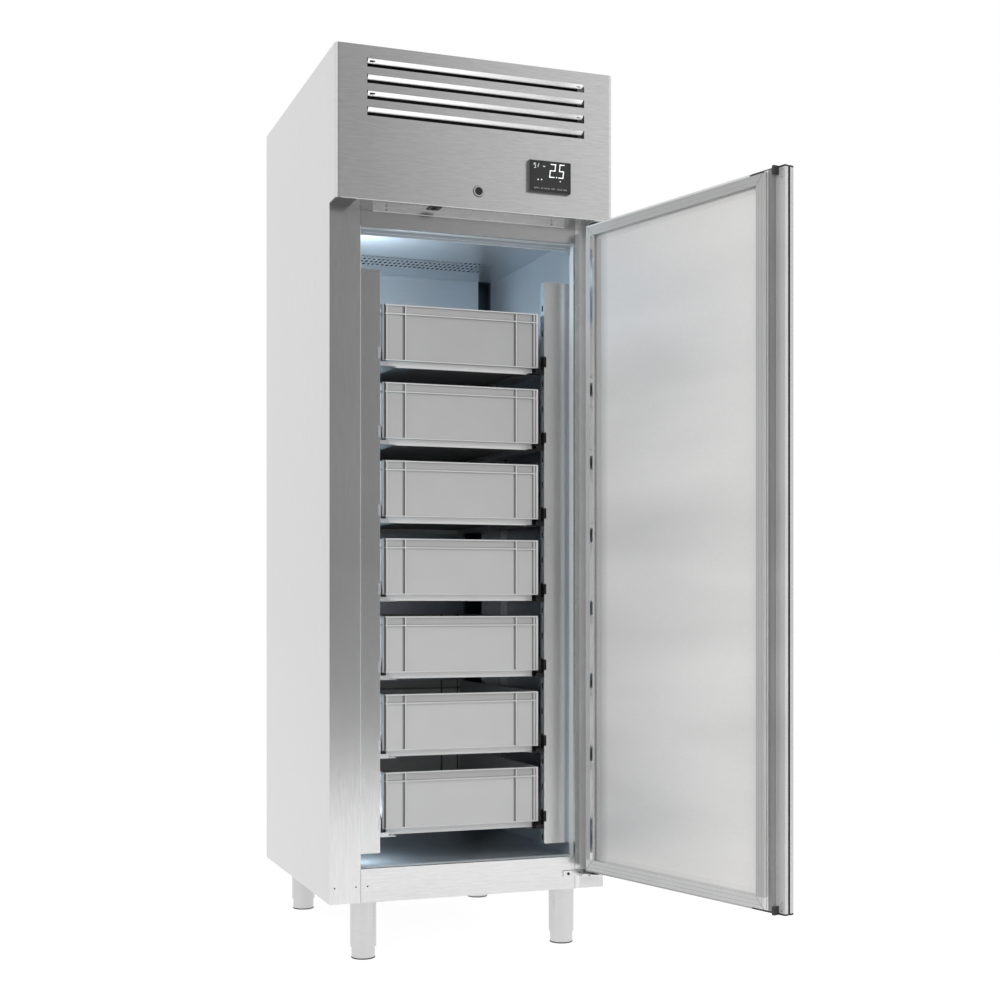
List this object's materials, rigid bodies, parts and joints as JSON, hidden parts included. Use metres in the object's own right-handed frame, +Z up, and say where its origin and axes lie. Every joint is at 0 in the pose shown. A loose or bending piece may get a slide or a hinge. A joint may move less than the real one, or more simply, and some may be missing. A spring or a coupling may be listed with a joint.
{
  "type": "fish refrigerator",
  "caption": "Upright stainless steel fish refrigerator with its full-height door open, grey crates on a sliding rack and the cooling unit on top.",
  "frame": {"origin": "on the floor, midway between the four feet", "axes": "+Z up, -Y out of the front towards the user, +Y towards the rear wall, +X to the right seen from the front, the side the door is hinged on; the door stands open at 105.4 degrees at rest"},
  "size_m": [0.8481, 1.3864, 2.127],
  "materials": {
    "brushed_front": "horizontal brushed grain, satin",
    "outer_steel": "fine grain, satin",
    "galvanised": "galvanised, matt",
    "lamp_metal": "drawn, satin",
    "lamp_cover": "milky",
    "chamber_steel": "satin",
    "rack_steel": "satin",
    "door_inner": "light grey, satin with a faint grain",
    "foam": "closed-cell foam",
    "frame_plastic": "matt",
    "gasket": "soft grey",
    "dark_plastic": "matt",
    "black_plastic": "matt",
    "filter": "open filter mat",
    "display": "gloss, dark",
    "lock_metal": "bright",
    "coil": "bare fins",
    "compressor_shell": "black enamel",
    "copper": "drawn copper",
    "leg_steel": "turned, satin",
    "crate": "moulded polyethylene, light grey"
  },
  "bodies": {
    "cabinet": {"side_panel_left": "outer_steel", "side_panel_right": "outer_steel", "back_panel": "galvanised", "base_panel": "brushed_front", "roof_panel": "brushed_front", "insulation": "foam", "inner_liner": "chamber_steel", "breaker_frame": "frame_plastic", "lamp_profile": "lamp_metal", "lamp_diffuser": "lamp_cover", "fascia": "brushed_front", "dust_filter": "filter", "controller_housing": "dark_plastic", "controller_glass": "display", "lock_housing": "lock_metal", "switch_housing": "dark_plastic", "corner_plug": "dark_plastic", "upper_hinge_plate": "brushed_front", "lower_hinge_bracket": "brushed_front", "front_pilasters": "rack_steel", "rear_pilasters": "rack_steel", "runners_left": "rack_steel", "runners_right": "rack_steel", "ceiling_panel": "chamber_steel", "rear_cowl": "chamber_steel", "evaporator_box": "foam", "evaporator_coil": "coil", "evaporator_fan_mount": "galvanised", "condenser": "coil", "condenser_fan_mount": "dark_plastic", "compressor": "compressor_shell", "pipework": "copper", "electrical_box": "dark_plastic", "leg_sleeves": "leg_steel"},
    "door": {"door_skin": "brushed_front", "door_core": "foam", "door_liner": "door_inner", "door_gasket": "gasket", "door_grip": "dark_plastic", "door_cap_top": "dark_plastic", "door_cap_bottom": "dark_plastic", "door_striker": "black_plastic", "door_bushes": "dark_plastic"},
    "crate_1_body": {"crate_1": "crate"},
    "crate_2_body": {"crate_2": "crate"},
    "crate_3_body": {"crate_3": "crate"},
    "crate_4_body": {"crate_4": "crate"},
    "crate_5_body": {"crate_5": "crate"},
    "crate_6_body": {"crate_6": "crate"},
    "crate_7_body": {"crate_7": "crate"},
    "condenser_fan_body": {"condenser_fan": "black_plastic"},
    "evaporator_fan_body": {"evaporator_fan": "black_plastic"},
    "lock_barrel_body": {"lock_barrel": "lock_metal"},
    "lock_bolt_body": {"lock_bolt": "lock_metal"},
    "switch_button_body": {"switch_button": "black_plastic"},
    "foot_front_left_body": {"foot_front_left": "leg_steel"},
    "foot_front_right_body": {"foot_front_right": "leg_steel"},
    "foot_rear_left_body": {"foot_rear_left": "leg_steel"},
    "foot_rear_right_body": {"foot_rear_right": "leg_steel"}
  },
  "joints": [
    {"name": "door_hinge", "type": "hinge", "parent": "cabinet", "child": "door", "pos_m": [0.31, -0.398, 0.98], "axis": [0, 0, 1], "range_deg": [-105.4, 0]},
    {"name": "crate_1_slide", "type": "slide", "parent": "cabinet", "child": "crate_1_body", "axis": [0, -1, 0], "range_m": [0, 0.45]},
    {"name": "crate_2_slide", "type": "slide", "parent": "cabinet", "child": "crate_2_body", "axis": [0, -1, 0], "range_m": [0, 0.45]},
    {"name": "crate_3_slide", "type": "slide", "parent": "cabinet", "child": "crate_3_body", "axis": [0, -1, 0], "range_m": [0, 0.45]},
    {"name": "crate_4_slide", "type": "slide", "parent": "cabinet", "child": "crate_4_body", "axis": [0, -1, 0], "range_m": [0, 0.45]},
    {"name": "crate_5_slide", "type": "slide", "parent": "cabinet", "child": "crate_5_body", "axis": [0, -1, 0], "range_m": [0, 0.45]},
    {"name": "crate_6_slide", "type": "slide", "parent": "cabinet", "child": "crate_6_body", "axis": [0, -1, 0], "range_m": [0, 0.45]},
    {"name": "crate_7_slide", "type": "slide", "parent": "cabinet", "child": "crate_7_body", "axis": [0, -1, 0], "range_m": [0, 0.45]},
    {"name": "condenser_fan_spin", "type": "hinge", "parent": "cabinet", "child": "condenser_fan_body", "pos_m": [0.135, -0.256, 1.954], "axis": [0, 1, 0], "continuous": true},
    {"name": "evaporator_fan_spin", "type": "hinge", "parent": "cabinet", "child": "evaporator_fan_body", "pos_m": [0, 0.108, 1.8855], "axis": [0, 1, 0], "continuous": true},
    {"name": "lock_turn", "type": "hinge", "parent": "cabinet", "child": "lock_barrel_body", "pos_m": [0, -0.414, 1.814], "axis": [0, 1, 0], "range_deg": [-90, 0]},
    {"name": "bolt_slide", "type": "slide", "parent": "cabinet", "child": "lock_bolt_body", "axis": [0, 0, 1], "range_m": [-0.01202, 0]},
    {"name": "switch_press", "type": "slide", "parent": "cabinet", "child": "switch_button_body", "axis": [0, 0, 1], "range_m": [0, 0.003], "stiffness_N_per_m": 150, "springref_m": -0.004},
    {"name": "foot_front_left_adjust", "type": "slide", "parent": "cabinet", "child": "foot_front_left_body", "axis": [0, 0, -1], "range_m": [-0.015, 0.03]},
    {"name": "foot_front_right_adjust", "type": "slide", "parent": "cabinet", "child": "foot_front_right_body", "axis": [0, 0, -1], "range_m": [-0.015, 0.03]},
    {"name": "foot_rear_left_adjust", "type": "slide", "parent": "cabinet", "child": "foot_rear_left_body", "axis": [0, 0, -1], "range_m": [-0.015, 0.03]},
    {"name": "foot_rear_right_adjust", "type": "slide", "parent": "cabinet", "child": "foot_rear_right_body", "axis": [0, 0, -1], "range_m": [-0.015, 0.03]}
  ],
  "couplings": [
    {"joint": "lock_turn", "follows": "bolt_slide", "rad_per_m": 130.67}
  ]
}
